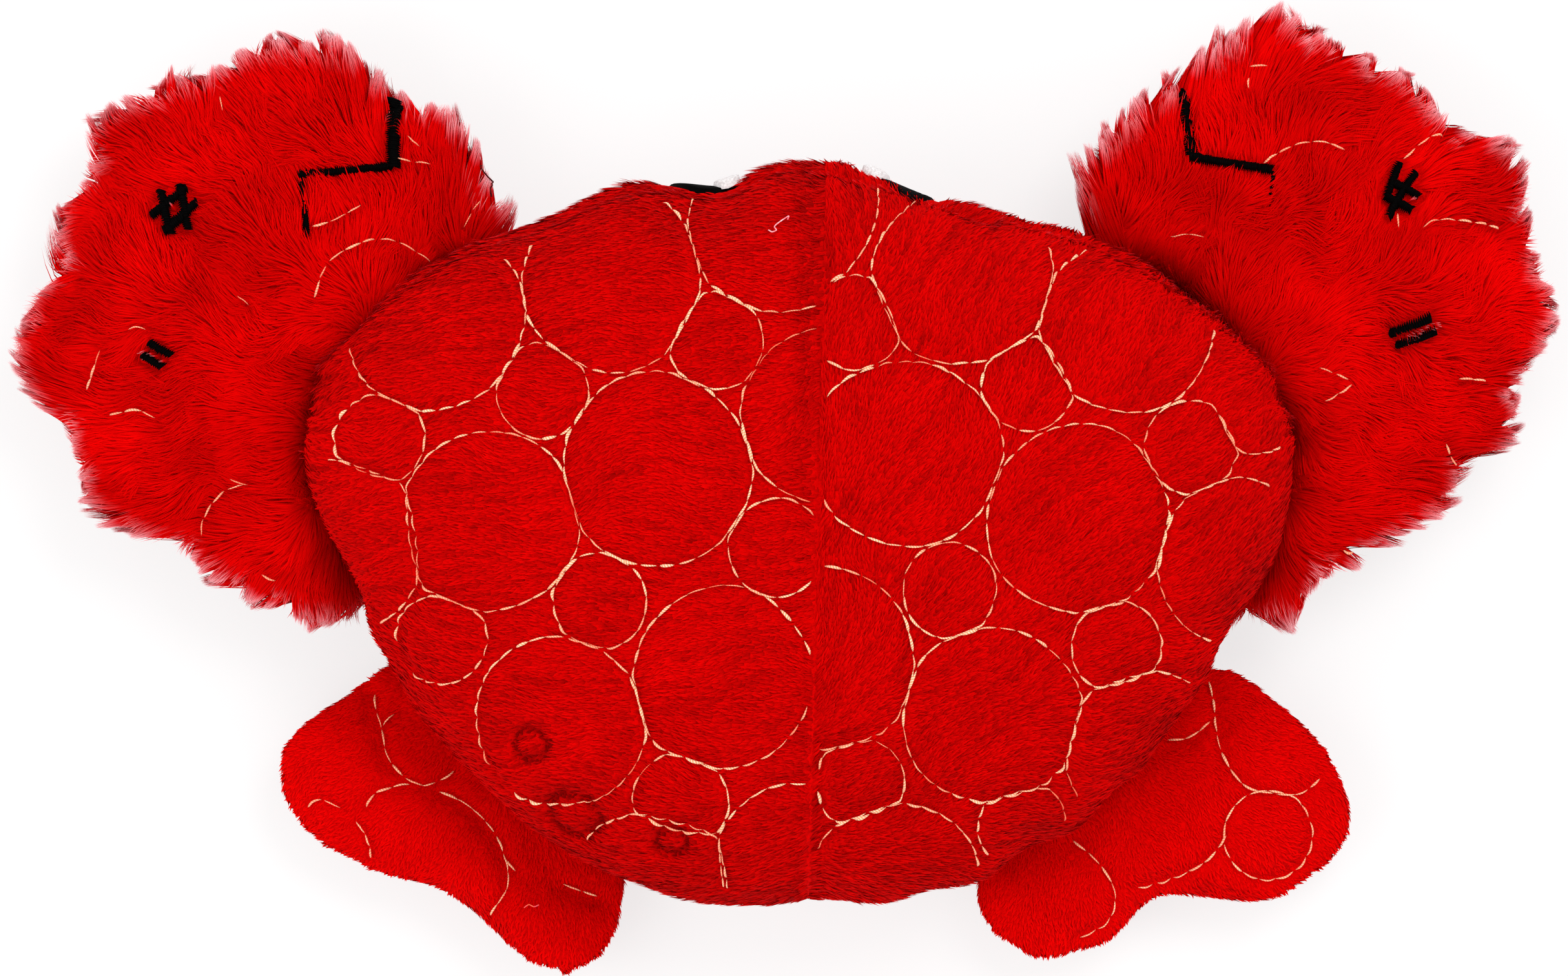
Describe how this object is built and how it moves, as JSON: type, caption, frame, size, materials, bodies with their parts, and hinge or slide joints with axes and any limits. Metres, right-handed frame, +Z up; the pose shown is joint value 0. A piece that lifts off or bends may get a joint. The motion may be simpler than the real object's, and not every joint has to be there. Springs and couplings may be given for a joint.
{
  "type": "crab plush dog toy",
  "caption": "Stuffed plush crab with furry claws and flat rear legs, its back quilted in touching circles, with a squeaker inside.",
  "frame": {"origin": "middle of the box round the whole toy, at the level of the floor it lies on", "axes": "+Z up out of its back, +Y towards its face, +X to the right of someone behind it"},
  "size_m": [0.2702, 0.1688, 0.0768],
  "materials": {
    "minky": "short-pile plush",
    "fur": "long shaggy pile",
    "thread": "pale gold sewing thread",
    "satin": "black satin stitch",
    "glint": "white felt",
    "stuffing": "loose polyester fill",
    "bulb": "soft moulded plastic",
    "valve": "hard moulded plastic"
  },
  "bodies": {
    "root": {"back_panel_left": "minky", "back_panel_right": "minky", "face_panel": "minky", "belly_panel": "minky", "body_stuffing": "stuffing", "squeaker_bulb": "bulb", "squeaker_valve": "valve", "back_quilting_left": "thread", "back_quilting_right": "thread", "claw_left_upper_panel": "fur", "claw_left_lower_panel": "fur", "claw_left_stuffing": "stuffing", "claw_left_zigzag": "satin", "claw_left_cross": "satin", "claw_left_bar_front": "satin", "claw_left_bar_rear": "satin", "claw_right_upper_panel": "fur", "claw_right_lower_panel": "fur", "claw_right_stuffing": "stuffing", "claw_right_zigzag": "satin", "claw_right_cross": "satin", "claw_right_bar_front": "satin", "claw_right_bar_rear": "satin", "rear_legs_left_upper_panel": "minky", "rear_legs_left_lower_panel": "minky", "rear_legs_left_stuffing": "stuffing", "rear_legs_left_quilting": "thread", "rear_legs_right_upper_panel": "minky", "rear_legs_right_lower_panel": "minky", "rear_legs_right_stuffing": "stuffing", "rear_legs_right_quilting": "thread", "eye_left_patch": "satin", "eye_left_glint": "glint", "eye_right_patch": "satin", "eye_right_glint": "glint"}
  },
  "joints": []
}
